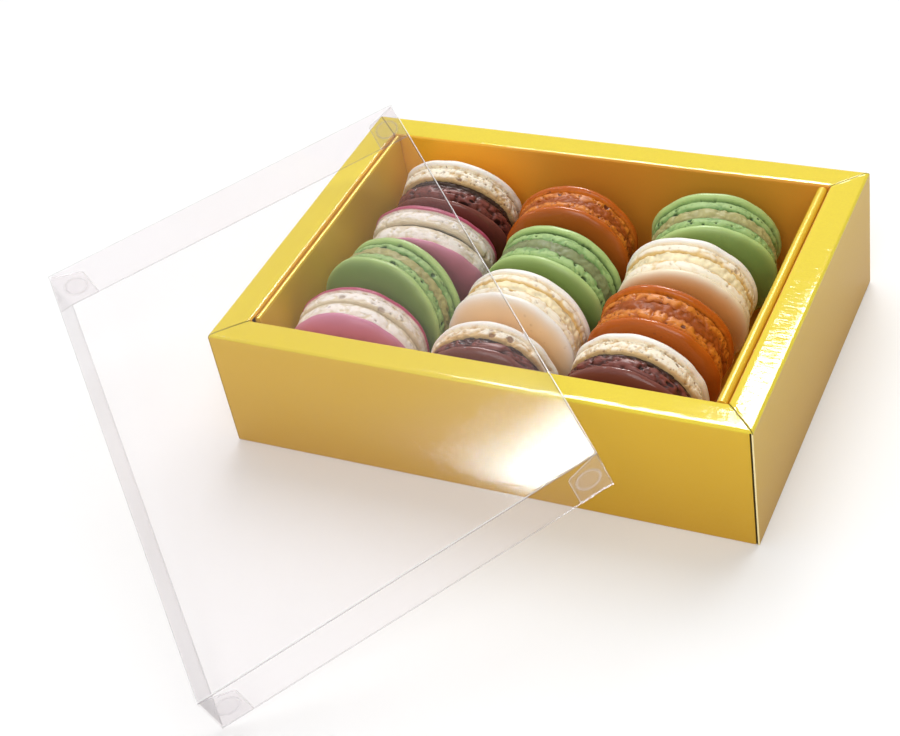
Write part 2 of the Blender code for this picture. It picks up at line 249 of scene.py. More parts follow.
class Paint:
    """A material, or a world, under construction."""

    def __init__(self, name, world=None):
        self.owner = world or bpy.data.materials.new(name)
        self.owner.use_nodes = True
        self.tree = self.owner.node_tree
        self.tree.nodes.clear()
        self.output = self.tree.nodes.new("ShaderNodeOutputWorld" if world else "ShaderNodeOutputMaterial")

    def node(self, kind, settings, values, output=0):
        """Add a node: its settings come first, then the values or links of its sockets."""
        node = self.tree.nodes.new(kind)
        for key, value in settings.items():
            setattr(node, key, value)
        for key, value in values.items():
            socket = node.inputs[key]
            if isinstance(value, Wire):
                self.tree.links.new(value.socket, socket)
            elif socket.type == "RGBA" and len(value) == 3:
                socket.default_value = (*value, 1.0)
            else:
                socket.default_value = value
        return Wire(self, node.outputs[output])

    def math(self, kind, first, second=0.0, clamp=False):
        settings = {"operation": kind, "use_clamp": clamp}
        return self.node("ShaderNodeMath", settings, {0: first, 1: second})

    def clamp(self, value):
        return self.math("ADD", value, 0.0, clamp=True)

    def step(self, value, low, high):
        """Rise smoothly from 0 at low to 1 at high."""
        values = {"Value": value, "From Min": low, "From Max": high}
        return self.node("ShaderNodeMapRange", {"interpolation_type": "SMOOTHSTEP"}, values)

    def mix(self, factor, first, second):
        """Mix two colours, by the places of a Mix node's colour sockets."""
        values = {"Factor": factor, 6: first, 7: second}
        return self.node("ShaderNodeMix", {"data_type": "RGBA"}, values, 2)

    def place(self, scale=(1, 1, 1)):
        """Object coordinates, stretched."""
        coords = self.node("ShaderNodeTexCoord", {}, {}, "Object")
        return self.node("ShaderNodeMapping", {}, {"Vector": coords, "Scale": scale})

    def axis(self, where, name):
        return self.node("ShaderNodeSeparateXYZ", {}, {0: where}, name)

    def noise(self, where, scale, detail=3.0, roughness=0.5):
        values = {"Vector": where, "Scale": scale, "Detail": detail, "Roughness": roughness}
        return self.node("ShaderNodeTexNoise", {}, values, "Fac")

    def mark(self, name):
        """A value stored on the piece's own points."""
        return self.node("ShaderNodeAttribute", {"attribute_name": name}, {}, "Fac")

    def bump(self, height, depth, strength=1.0, normal=None):
        values = {"Height": height, "Distance": depth, "Strength": strength}
        if normal:
            values["Normal"] = normal
        return self.node("ShaderNodeBump", {}, values)

    def surface(self, values):
        return self.node("ShaderNodeBsdfPrincipled", {}, values)

    def finish(self, shader):
        self.tree.links.new(shader.socket, self.output.inputs["Surface"])
        return self.owner


def srgb(red, green, blue):
    """Turn a screen colour of 0 to 255 into linear light."""
    values = np.array([red, green, blue]) / 255
    linear = np.where(values <= 0.04045, values / 12.92, ((values + 0.055) / 1.055) ** 2.4)
    return tuple(float(v) for v in linear)


# Settings that a user would change

def length(name, description, default):
    return FloatProperty(name=name, description=description, default=default, unit="LENGTH")


def hue(name, description, default):
    return FloatVectorProperty(name=name, description=description, default=default, subtype="COLOR")


def fraction(name, description, default):
    return FloatProperty(name=name, description=description, default=default, min=0, max=1)


def real(name, description, default):
    return FloatProperty(name=name, description=description, default=default)


def whole(name, description, default):
    return IntProperty(name=name, description=description, default=default, min=6, max=480)


class TraySettings(bpy.types.PropertyGroup):
    rim_width: length("Rim width", "Width of the folded frame", 10.4 * MM)
    floor_thickness: length("Floor", "Thickness of the card floor", 1.0 * MM)
    outer_fold: length("Outer fold", "Radius of the rim's outer fold", 0.9 * MM)
    inner_fold: length("Inner fold", "Radius of the rim's inner fold", 0.7 * MM)
    mitre_depth: length("Mitre depth", "Depth of the line across the front corners", 0.4 * MM)
    seam_depth: length("Seam depth", "Depth of the open joint at the front right corner", 0.9 * MM)
    strip_ripple: length("Strip ripple", "How far the inner strips' tops sink in places", 0.25 * MM)
    # Lit and shaded copies of one card colour: painted light makes the rim lighter, painted shade makes the
    # walls darker and more orange, their foot darker still and the inside orange, and painted light makes the
    # inside lighter towards the left
    lit_rim_colour: hue("Rim", "Colour of the coated rim", (0.83, 0.655, 0.046))
    shaded_wall_colour: hue("Walls", "Colour of the outer walls", (0.71, 0.437, 0.0165))
    wall_foot_shade_colour: hue("Wall foot", "Colour low on the outer walls", (0.57, 0.312, 0.012))
    strip_colour: hue("Strips", "Colour of the folded inner strips", (0.84, 0.58, 0.035))
    inner_left_lit_colour: hue("Inside left", "Colour inside, towards the left", (1.0, 0.565, 0.042))
    inner_shade_colour: hue("Inside", "Colour of the inner walls", (0.80, 0.345, 0.036))
    grain_colour: hue("Grain", "Colour of the card's fine grain", (0.62, 0.40, 0.06))
    # The bare edge beside the seam: the card's pale core, with a painted highlight
    pale_edge_and_highlight_colour: hue("Bare edge", "Colour of the card beside the open joint", (0.95, 0.80, 0.42))
    # Painted shade: near black in the mitre lines, the seam, the hole beside the left strip and the crease at
    # the front left corner
    cut_shade_colour: hue("Cuts", "Colour in the open joint and the mitre lines", (0.02, 0.012, 0.005))


class MacaronSettings(bpy.types.PropertyGroup):
    around: whole("Points around", "Points around each shell", 420)
    foot_rows: whole("Foot rows", "Rows of points up each foot", 24)
    dome_rows: whole("Dome rows", "Rows of points over each dome", 18)
    ruffle: length("Ruffle", "Depth of the ruffles of each foot", 0.9 * MM)
    pit: length("Pits", "Depth of the pits in each foot", 0.8 * MM)
    dome_exponent: real("Dome exponent", "Higher is a flatter dome", 2.35)


class LidSettings(bpy.types.PropertyGroup):
    sheet: length("Sheet", "Thickness of the clear sheet", 0.4 * MM)
    fold: length("Fold", "Radius of the lid's folds", 0.36 * MM)
    haze: fraction("Haze", "How milky the clear sheet is", 0.008)
    tab_haze: fraction("Tab haze", "How milky the glue tabs are", 0.05)
    # The fold lines are painted shade, with white painted highlights on some folds
    line_strength: fraction("Fold lines", "How strong the lines along the folds are", 0.6)
    tab_line_strength: fraction("Tab lines", "How strong the tabs' edges and glue spots are", 0.24)
    line_colour: hue("Fold shade", "Colour of the dark fold lines", (0.30, 0.26, 0.28))
    tab_line_colour: hue("Tab shade", "Colour of the tabs' lines", (0.84, 0.82, 0.84))


class StageSettings(bpy.types.PropertyGroup):
    floor_size: length("Floor size", "Side of the floor", 12.0)
    floor_colour: hue("Floor", "Colour of the floor", (0.93, 0.93, 0.93))
    key_power: real("Key light", "Power of the main light in watts", 17.0)
    fill_power: real("Front fill", "Power of the soft front light in watts", 12.0)
    sky_strength: real("Sky", "Strength of the even light from all sides", 0.8)
    right_dimming: fraction("Right side", "How much dimmer the sky is on the right", 0.88)


# Rectangular tray of folded card

# Points of one side near a corner, by their distance from it, and the points between
CORNER_PLACES = np.array([0.0, 0.12, 0.25, 0.48, 0.51, 1.09, 1.12, 1.5, 2.3]) * MM
MIDDLE_START = 4 * MM
MIDDLE_POINTS = (44, 32)
# Narrow forms near the tray's corners, as spans of the distance from the corner; the hole and the crease are
# no forms but painted shade
SEAM_SPAN = (0.5 * MM, 1.1 * MM)
BARE_EDGE_WIDTH = 0.49 * MM
HOLE_SPAN = (0.9 * MM, 2.4 * MM)
HOLE_DROP = 8 * MM
CREASE_WIDTH = 0.3 * MM
CREASE_SHADE_STRENGTH = 0.45
GROOVE_WIDTH = 0.36 * MM
BACK_GROOVE_DEPTH = 0.12 * MM
# How far the rim falls: over its own width, at its outer fold and at its inner fold
RIM_TILT = 0.2 * MM
OUTER_ROLL, OUTER_ROLL_WIDTH = 0.16 * MM, 2.8 * MM
INNER_ROLL, INNER_ROLL_WIDTH = 0.2 * MM, 2.0 * MM
RIM_WAVE, RIM_WAVE_LENGTH = 0.3 * MM, 35 * MM
STRIP_WAVE_LENGTH = 30 * MM
TINY = 1e-6


def side_places(half, extra):
    """Places along one side from corner to corner, closer together near both corners."""
    middle = np.linspace(MIDDLE_START, 2 * half - MIDDLE_START, extra)
    return np.concatenate([CORNER_PLACES, middle, (2 * half - CORNER_PLACES[::-1])[:-1]])


def tray_ring(inset):
    """Go round the tray, set in by an amount, with the same places on each ring."""
    halves = (TRAY_HALF_X, TRAY_HALF_Y)
    shares = [side_places(half, extra) / half - 1 for half, extra in zip(halves, MIDDLE_POINTS)]
    return rectangle(*shares, TRAY_HALF_X - inset, TRAY_HALF_Y - inset)


def corner_distance(ring, inset):
    """Distance of each ring point from the nearest corner along its side."""
    return np.max(np.array([TRAY_HALF_X, TRAY_HALF_Y]) - inset - np.abs(ring), axis=1)


def tray_section(settings):
    """Inset and height of the wall's section, from under the floor over the rim to the floor's top."""
    width, fold, inner = settings.rim_width, settings.outer_fold, settings.inner_fold
    quarter = np.linspace(0, math.pi / 2, 9)
    inset = np.concatenate([
        [0.5 * MM, 0.15 * MM, 0.0],
        np.zeros(10),
        fold * (1 - np.cos(quarter)),
        np.linspace(fold, width - inner, 11)[1:-1],
        width - inner * (1 - np.sin(quarter)),
        np.full(8, width),
    ])
    height = np.concatenate([
        [0.0, 0.15 * MM, 0.5 * MM],
        np.linspace(0.8 * MM, TRAY_TOP - fold - 0.2 * MM, 10),
        TRAY_TOP - fold * (1 - np.sin(quarter)),
        np.full(9, TRAY_TOP),
        TRAY_TOP - inner * (1 - np.cos(quarter)),
        np.linspace(TRAY_TOP - inner - 0.5 * MM, settings.floor_thickness, 8),
    ])
    return inset, height


def tray_mesh(settings):
    """Sweep the wall's section round the rectangle.

    Each ring is the rectangle set in by the section's inset at the section's
    height. Both folds are quarter circles. The mitre lines are V cuts along
    the corners of the rim, and the seam is a slot in the front face beside its
    right corner. The rim falls off towards both folds by the square of the share
    of the way that is left, and the front rim also tilts a little inwards. The
    dark hole beside the left strip's front end and the crease at the front left
    corner are only marks for the paint: painted shade. The mitre lines and the
    seam are also painted dark as shade.
    """
    width = settings.rim_width
    rows, rim, inside, cut, edge = [], [], [], [], []
    for d, z in zip(*tray_section(settings)):
        ring = tray_ring(d)
        apart = corner_distance(ring, d)
        front, right = ring[:, 1] < 0, ring[:, 0] > 0
        front_side = ring[:, 1] < d + TINY - TRAY_HALF_Y
        on_top = float(smooth_step(TRAY_TOP - 1.2 * MM, TRAY_TOP - 0.4 * MM, np.array(z)))
        depth = np.where(front, settings.mitre_depth, BACK_GROOVE_DEPTH)
        groove = np.clip(1 - apart / GROOVE_WIDTH, 0, 1) * on_top
        face = front_side & right & (z < TRAY_TOP - 0.6 * MM) & (d < 1 * MM)
        seam = face & (apart > SEAM_SPAN[0]) & (apart < SEAM_SPAN[1])
        hole = front & ~right & (d > width - TINY) & (z > TRAY_TOP - HOLE_DROP)
        hole &= (apart > HOLE_SPAN[0]) & (apart < HOLE_SPAN[1])
        crease = front_side & ~right & (d < 0.6 * MM) & (apart < CREASE_WIDTH)
        noise = lumps(np.column_stack([ring, np.full(len(ring), z)]), RIM_WAVE_LENGTH, 5)
        fall = OUTER_ROLL * np.clip(1 - d / OUTER_ROLL_WIDTH, 0, 1) ** 2
        fall = fall + INNER_ROLL * np.clip(1 - (width - d) / INNER_ROLL_WIDTH, 0, 1) ** 2
        fall = fall + RIM_TILT * (d / width) * front_side * (apart > 0.2 * MM)
        fall = fall + np.abs(noise - 0.5) * RIM_WAVE * (apart > 1 * MM)
        ring = ring.copy()
        ring[seam, 1] += settings.seam_depth
        rows.append(np.column_stack([ring, z - groove * depth - fall * on_top]))
        rim.append(np.full(len(ring), on_top))
        inside.append(np.full(len(ring), float(d > width - settings.inner_fold * 0.7)))
        # Painted shade: dark in the mitre grooves, the seam slot, the hole and the crease
        cut.append(np.maximum(np.maximum(groove, seam | hole), crease * CREASE_SHADE_STRENGTH))
        # The bare card edge beside the seam, pale, with a painted highlight
        edge.append(face & (apart < BARE_EDGE_WIDTH))
    marks = {"rim": (rim, 0, 0), "inside": (inside, 0, 1), "cut": (cut, 0, 0), "edge": (edge, 0, 0)}
    top = (0, 0, settings.floor_thickness)
    return solid_mesh("gold_tray", np.array(rows), marks, smooth_angle=38, first=(0, 0, 0), last=top)


def strip_mesh(node, ripple):
    """Carry a straight-sided section with a half-round top along the short side of the box."""
    low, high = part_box(node)
    half = (high.x - low.x) / 2
    height = high.z - low.z
    angle = np.linspace(math.pi, 0, 17)
    side = np.linspace(0, height - half, 12)[:-1]
    x = np.concatenate([np.full(11, -half), half * np.cos(angle), np.full(11, half)])
    z = np.concatenate([side, height - half + half * np.sin(angle), side[::-1]])
    y = np.linspace(low.y, high.y, 60)
    rows = np.zeros((len(y), len(x), 3))
    rows[..., 0] = low.x + half + x
    rows[..., 1] = y[:, None]
    rows[..., 2] = low.z + z
    sunk = 1 - lumps(rows * [0, 1, 0], STRIP_WAVE_LENGTH, 9)
    rows[..., 2] -= ripple * sunk * (z > height / 2)
    return solid_mesh(node + "_folded", rows, smooth_angle=40)


def gold_card(name, settings, plain=False):
    """Pearly gold card, glossy on the rim and satin on the walls. Its colours are lit and shaded copies of
    one card colour: painted light on the rim and inside towards the left, painted shade on the walls, darker
    low down, orange inside and dark in the cuts.
    """
    paint = Paint(name)
    where = paint.place()
    cloud = paint.noise(where, 18.0, 2.0)
    grain = paint.noise(where, 1500.0, 2.0)
    if plain:
        colour = paint.mix(cloud * 0.15, settings.strip_colour, settings.inner_shade_colour)
    else:
        # Painted shade: the walls get darker towards their foot
        height_share = paint.clamp(paint.axis(where, "Z") * (1 / TRAY_TOP))
        colour = paint.mix(height_share, settings.wall_foot_shade_colour, settings.shaded_wall_colour)
        # Painted light: the inside gets lighter towards the left
        from_left = paint.step(paint.axis(where, "X"), -TRAY_HALF_X, 0.0)
        inner = paint.mix(from_left, settings.inner_left_lit_colour, settings.inner_shade_colour)
        # Painted light on the rim, painted shade inside and in the cuts; the bare edge is the card's pale
        # core with a painted highlight
        coats = (
            ("rim", settings.lit_rim_colour), ("inside", inner),
            ("edge", settings.pale_edge_and_highlight_colour), ("cut", settings.cut_shade_colour),
        )
        for mark, coat in coats:
            colour = paint.mix(paint.mark(mark), colour, coat)
    colour = paint.mix(paint.clamp((grain - 0.35) * 0.35), colour, settings.grain_colour)
    ripple = paint.noise(paint.place((0.35, 1.0, 1.0)), 600.0, 3.0) * 0.35 + cloud * 0.65
    shine = 0.4 if plain else paint.mark("rim")
    values = {
        "Base Color": colour,
        "Roughness": 0.4 - shine * 0.34,
        "Metallic": 0.1 if plain else 0.15 - shine * 0.15,
        "Specular IOR Level": 0.42,
        "Normal": paint.bump(grain, 0.02 * MM, 0.4, paint.bump(ripple, 0.25 * MM, 0.5)),
    }
    return paint.finish(paint.surface(values))


# Macarons

# A shell's outline is measured in so many steps, on points beyond this share of its radius
OUTLINE_STEPS = 48
RIM_SHARE = 0.96
# How much closer the points stand over a macaron's upper part
CROWDING = 0.42
LIP_SHARE = 0.995
# Sizes and weights of the lumps: a foot's ruffles, fine and finest crumbs, and its ragged rim
RUFFLES, CRUMBS, FINEST = (3.0 * MM, 0.9), (1.5 * MM, 0.75), (0.8 * MM, 0.35)
RAGS, FINE_RAGS = (6 * MM, 0.6), (1.6 * MM, 0.4)
LARGE_PIT, SMALL_PIT = 2.6 * MM, 1.0 * MM
# Sizes and depths: uneven waist, sunk places and grain of a dome
WAIST, WAIST_DEPTH = 5 * MM, 0.5 * MM
SUNK, SUNK_DEPTH = 7 * MM, 0.3 * MM
GRAIN, GRAIN_DEPTH = 1.8 * MM, 0.04 * MM
# The two feet of a macaron keep this far from its middle
MIDDLE_GAP = 0.06 * MM
# A filling's soft lumps and crumbs, and the depth of its creases
SMEARS, SMEAR_CRUMBS, SMEAR_DEPTH = 3.2 * MM, 1.3 * MM, 1.0 * MM


class MacaronPlace:
    """Where one macaron stands, measured on its three CAD solids."""

    def __init__(self, number):
        self.prefix = f"macaron_{number:02d}"
        filling = self.node_points("filling")
        spread = np.linalg.svd(filling - filling.mean(0), full_matrices=False)[2]
        axis = spread[2]
        self.axis = axis * -np.sign(axis[1])
        side = np.cross(self.axis, [0, 0, 1])
        self.side = side / np.linalg.norm(side)
        self.up = np.cross(self.side, self.axis)
        along = (filling - filling.mean(0)) @ self.axis
        self.centre = filling.mean(0) + self.axis * (along.max() + along.min()) / 2
        self.filling_half = (along.max() - along.min()) / 2
        self.filling_radius = self.local(filling)[1].max()

    def node_points(self, part):
        """Points of a CAD solid, each once, to the micrometre."""
        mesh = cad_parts[f"{self.prefix}_{part}"].data
        points = np.empty(len(mesh.vertices) * 3, np.float32)
        mesh.vertices.foreach_get("co", points)
        return np.unique(np.round(points.reshape(-1, 3).astype(float), 6), axis=0)

    def local(self, points):
        """Distance along the axis, radius and angle of points in space."""
        away = points - self.centre
        along = away @ self.axis
        x, z = away @ self.side, away @ self.up
        return along, np.hypot(x, z), np.arctan2(z, x)

    def outline(self, part):
        """Largest radius of a shell at every angle, with its face and peak."""
        along, radius, angle = self.local(self.node_points(part))
        along = np.abs(along)
        wide = radius > radius.max() * RIM_SHARE
        steps = np.linspace(-math.pi, math.pi, OUTLINE_STEPS + 1)
        best = np.zeros(OUTLINE_STEPS)
        index = np.clip(np.digitize(angle[wide], steps) - 1, 0, OUTLINE_STEPS - 1)
        np.maximum.at(best, index, radius[wide])
        known = best > 0
        middles = (steps[:-1] + steps[1:]) / 2
        return middles[known], best[known], along.min(), along.max()

    def to_space(self, along, radius, angle):
        """Points in space from distance along the axis, radius and angle."""
        flat = np.cos(angle)[..., None] * self.side + np.sin(angle)[..., None] * self.up
        return self.centre + along[..., None] * self.axis + radius[..., None] * flat


def turn_angles(count):
    """Angles round a macaron from its lowest point on, closer together over its upper part."""
    turn = 2 * math.pi * np.linspace(0, 1, count, endpoint=False)
    return turn - math.pi / 2 - CROWDING * np.sin(turn)


def weighted(noise, points, kind, seed):
    """Noise of one kind's size, times its weight."""
    size, weight = kind
    return noise(points, size, seed) * weight


def by_row(counts, *parts):
    """Column of values for the rows of each part, from one value or one for each of its rows."""
    return np.concatenate([values + np.zeros(count) for count, values in zip(counts, parts)])[:, None]


def shell_mesh(place, part, look, settings, seed):
    """Turn one shell from its face over its ruffled foot and lip to the middle of its dome.

    The foot bulges between face and waist; ruffles, creases and pits are noise
    in its radius. The lip is a quarter ellipse and the dome a superellipse:
    height times the root of one minus the radius share to the dome exponent.
    """
    direction = 1 if part == "front_shell" else -1
    angles, sizes, face, peak = place.outline(part)
    turn = turn_angles(settings.around)
    wide = np.interp(turn, angles, sizes, period=2 * math.pi)
    for _ in range(3):
        wide = (np.roll(wide, 3) + np.roll(wide, -3) + 2 * wide) / 4
    foot, lip = look["foot_height"] * MM, look["lip_height"] * MM
    base = face + foot
    dome = peak - base - lip

    # rows from the face to the dome: share of each part's height or radius
    foot_share = np.linspace(0, 1, settings.foot_rows)
    lip_share = np.linspace(0, 1, 9)[1:]
    dome_share = np.sin(np.linspace(math.pi / 2 * 0.94, 0, settings.dome_rows))[:-1]
    quarter = lip_share * math.pi / 2
    belly = (1 - np.abs(2 * foot_share - 0.8) ** 2.6).clip(0, 1)
    foot_radius = look["neck"] + look["belly"] * belly
    lip_radius = look["neck"] + (LIP_SHARE - look["neck"]) * np.sin(quarter) ** 0.8
    inner = np.array([0.05, 0.5, 0.9]) * foot_radius[0]
    radius_share = np.concatenate([inner, foot_radius, lip_radius, dome_share * LIP_SHARE])
    along = np.concatenate([
        np.full(3, face),
        face + foot * foot_share,
        base + lip * (1 - np.cos(quarter)),
        base + lip + dome * (1 - dome_share ** settings.dome_exponent) ** 0.5,
    ])

    counts = (3, len(foot_share), len(lip_share), len(dome_share))
    crusty = by_row(counts, 0, smooth_step(-0.05, 0.06, foot_share), (1 - lip_share) ** 1.5, 0)
    foot_mark = by_row(counts, 1, 1, 1 - smooth_step(0.1, 0.7, lip_share), 0)
    # The crown mark lightens the dome's edge and the lip: partly the shell's own paler rim, partly painted
    # light
    crown = by_row(counts, 0, 0, smooth_step(0.0, 0.4, lip_share), dome_share ** look["crown"])
    neck_line = by_row(counts, 0, np.exp(-((foot_share - 1) / 0.1) ** 2), np.exp(-(lip_share / 0.3) ** 2), 0)
    rim_line = by_row(counts, (0, 0, 1), np.exp(-(foot_share / 0.2) ** 2), 0, 0)

    radius = radius_share[:, None] * wide
    blank = np.zeros_like(radius)
    distance = along[:, None] + blank
    angle = turn + blank
    flat = np.stack([angle * wide.mean() / look["stretch"], distance, blank + seed * MM], -1)
    seen = place.to_space(distance * direction, radius, angle) - place.centre
    fine = weighted(popcorn, flat, CRUMBS, seed + 1) + weighted(popcorn, flat, FINEST, seed + 2)
    fine = look["fine"] * fine + (1 - look["fine"]) * CRUMBS[1]
    ruffle = weighted(popcorn, flat, RUFFLES, seed) + fine
    large = holes(flat, LARGE_PIT, look["large_pits"], seed + 3)
    small = holes(flat, SMALL_PIT, look["small_pits"], seed + 9)
    pits = np.maximum(large, small * 0.7)
    waist = neck_line * (0.25 + 0.75 * lumps(flat, WAIST, seed + 4))
    depth = (1.15 - ruffle) * settings.ruffle * look["rough"] + pits * settings.pit
    radius = radius - crusty * depth.clip(0, None) - waist * WAIST_DEPTH

    # the dome sinks a little in places, and the foot's rim reaches raggedly over the filling
    sunk = (1 - lumps(seen, SUNK, seed + 5)) * SUNK_DEPTH + (1 - lumps(seen, GRAIN, seed + 6)) * GRAIN_DEPTH
    ragged = weighted(lumps, flat, RAGS, seed + 7) + weighted(popcorn, flat, FINE_RAGS, seed + 8) - 0.1
    distance = distance - sunk * (1 - foot_mark) - look["meet"] * MM * ragged.clip(0, None) * rim_line
    distance = distance.clip(MIDDLE_GAP, peak)
    rows = place.to_space(distance * direction, np.minimum(radius, wide), angle)
    centre_face = place.centre + place.axis * direction * face
    # Painted shade: the level mark is low in the foot's creases and at its edge over the filling, where the
    # paint darkens the foot; the pit mark holds the pits and the waist groove, painted dark as shade
    level = ((ruffle - 0.2) / 1.5).clip(0, 1) * crusty + (1 - crusty)
    marks = {
        "foot": (foot_mark + blank, 1, 0),
        "pit": (np.maximum(pits * crusty, waist * look["waist_shade"]), 0, 0),
        "level": (level * (1 - 0.85 * rim_line), 1, 1),
        "crown": (crown + blank, 0, 0),
    }
    return solid_mesh(f"{place.prefix}_{part}", rows, marks, first=centre_face)


def filling_mesh(place, settings, seed):
    """Band between the two faces: a shallow bulge whose radius carries soft lumps and creases."""
    turn = turn_angles(settings.around)
    share = np.sin(np.linspace(-1, 1, 15) * math.pi / 2)
    bulge = place.filling_radius * (0.975 + 0.025 * np.sqrt(np.clip(1 - share ** 2, 0, 1)))
    inner = np.array([0.1, 0.55, 0.9]) * bulge[0]
    counts = (3, len(share), 3)
    radius = by_row(counts, inner, bulge, inner[::-1]) + np.zeros(len(turn))
    band = by_row(counts, 0, 1, 0)
    # Painted shade: this groove only darkens the paint, beside the shells' faces and on the end caps
    groove = by_row(counts, 1, np.exp(-((1 - np.abs(share)) / 0.2) ** 2), 1)
    blank = np.zeros_like(radius)
    along, angle = by_row(counts, -1, share, 1) * place.filling_half + blank, turn + blank
    flat = np.stack([angle * place.filling_radius / 1.5, along, blank + seed * MM], -1)
    crumb = (popcorn(flat, SMEARS, seed) + popcorn(flat, SMEAR_CRUMBS, seed + 1)) / 2
    radius = np.minimum(radius - (0.9 - crumb).clip(0, None) * SMEAR_DEPTH * band, place.filling_radius)
    rows = place.to_space(along, radius, angle)
    half = place.axis * place.filling_half
    level = (crumb * band + (1 - band)).clip(0, 1) * (1 - 0.9 * groove)
    marks = {"level": (level, 1, 1)}
    name = f"{place.prefix}_filling"
    return solid_mesh(name, rows, marks, first=place.centre - half, last=place.centre + half)


# Flavours of shell: colours as a screen shows them, heights in millimetres, the rest as shares
# The pit and low colours are painted shade: pit in the foot's pits and waist groove, low in its creases and
# at its edge over the filling, and low also in random patches; the lip colour is partly the shell's own paler
# rim, partly painted light on the dome's edge
FLAVOURS = {
    "cream": dict(
        dome=(242, 208, 160), lip=(252, 247, 238), foot=(250, 240, 218), low=(226, 190, 122),
        pit=(172, 130, 84), speck=(160, 120, 80), specks=0.3, neck=0.93, belly=0.05, lip_height=1.2,
        large_pits=0.12, small_pits=0.3, rough=0.5, stretch=1.3, waist_shade=0.12, pit_shade=0.6,
        shine=0.42, crown=13, fine=0.5, patch=0.3,
    ),
    "brown": dict(
        dome=(112, 62, 50), lip=(128, 76, 66), foot=(130, 72, 62), low=(76, 38, 30), pit=(30, 14, 12),
        speck=(60, 30, 22), specks=0.1, neck=0.92, belly=0.055, lip_height=0.9, large_pits=0.6,
        small_pits=0.4, rough=1.2, stretch=2.2, waist_shade=0.5, pit_shade=0.9, shine=0.13, crown=28,
        fine=1.0, patch=0.75,
    ),
    "green": dict(
        dome=(121, 151, 82), lip=(180, 206, 130), foot=(164, 192, 122), low=(118, 154, 88),
        pit=(44, 70, 36), speck=(96, 118, 60), specks=0.1, neck=0.915, belly=0.045, lip_height=1.7,
        large_pits=0.3, small_pits=0.25, rough=0.62, stretch=1.4, waist_shade=0.8, pit_shade=0.9,
        shine=0.36, crown=24, fine=0.55, patch=0.5,
    ),
    "orange": dict(
        dome=(170, 88, 28), lip=(192, 96, 24), foot=(216, 128, 38), low=(176, 90, 22), pit=(84, 24, 8),
        speck=(96, 50, 40), specks=0.5, neck=0.92, belly=0.045, lip_height=1.6, large_pits=0.25,
        small_pits=0.45, rough=0.9, stretch=1.3, waist_shade=0.6, pit_shade=0.9, shine=0.19, crown=28,
        fine=1.0, patch=0.75,
    ),
    "pink": dict(
        dome=(202, 120, 140), lip=(210, 140, 162), foot=(246, 238, 228), low=(222, 206, 176),
        pit=(140, 108, 78), speck=(150, 100, 60), specks=0.15, neck=0.955, belly=0.03, lip_height=0.7,
        large_pits=0.03, small_pits=0.16, rough=0.45, stretch=1.5, waist_shade=0.0, pit_shade=0.6,
        shine=0.36, crown=12, fine=1.0, patch=0.6,
    ),
}

# Kinds of shell that differ from one flavour in a few values
VARIANTS = {
    "speckled": ("cream", dict(
        low=(212, 178, 124), pit=(140, 98, 60), pit_shade=0.85, small_pits=0.55, rough=0.95, fine=0.85,
        patch=0.75,
    )),
    # Painted shade: a cream shell whose dome is painted darker and warmer, as it stands in shade lit by the
    # warm gold card
    "warm_shaded_cream": ("cream", dict(dome=(220, 156, 86), lip=(244, 228, 200), crown=16)),
    "rose": ("pink", dict(lip=(184, 80, 108))),
}

# The near-black filling of the pink macarons is painted shade in the deep gap between their feet
FILLINGS = {
    "dark": (72, 52, 42), "gap_shade": (22, 14, 12), "beige": (178, 172, 114), "olive": (136, 144, 98),
    "butter": (250, 234, 192), "caramel": (164, 80, 20),
}

# For each macaron: back shell, filling, front shell, and in millimetres the height of its feet and
# how far they close the gap
MACARONS = {
    1: ("speckled", "dark", "brown", 5.7, 0.2),
    2: ("rose", "gap_shade", "pink", 5.0, 0.05),
    3: ("green", "beige", "green", 3.0, 1.6),
    4: ("rose", "gap_shade", "pink", 5.1, 0.4),
    5: ("orange", "caramel", "orange", 2.6, 2.6),
    6: ("green", "olive", "green", 3.6, 1.6),
    7: ("cream", "butter", "cream", 3.0, 1.5),
    8: ("speckled", "dark", "brown", 4.3, 0.5),
    9: ("green", "beige", "green", 3.6, 0.7),
    10: ("cream", "butter", "warm_shaded_cream", 3.4, 1.7),
    11: ("orange", "caramel", "orange", 3.2, 2.7),
    12: ("speckled", "dark", "brown", 5.2, 0.5),
}


def shell_look(kind):
    """Flavour of a kind of shell, and its values with its colours as linear light."""
    flavour, changes = VARIANTS.get(kind, (kind, {}))
    look = {**FLAVOURS[flavour], **changes}
    return flavour, {key: srgb(*value) if isinstance(value, tuple) else value for key, value in look.items()}


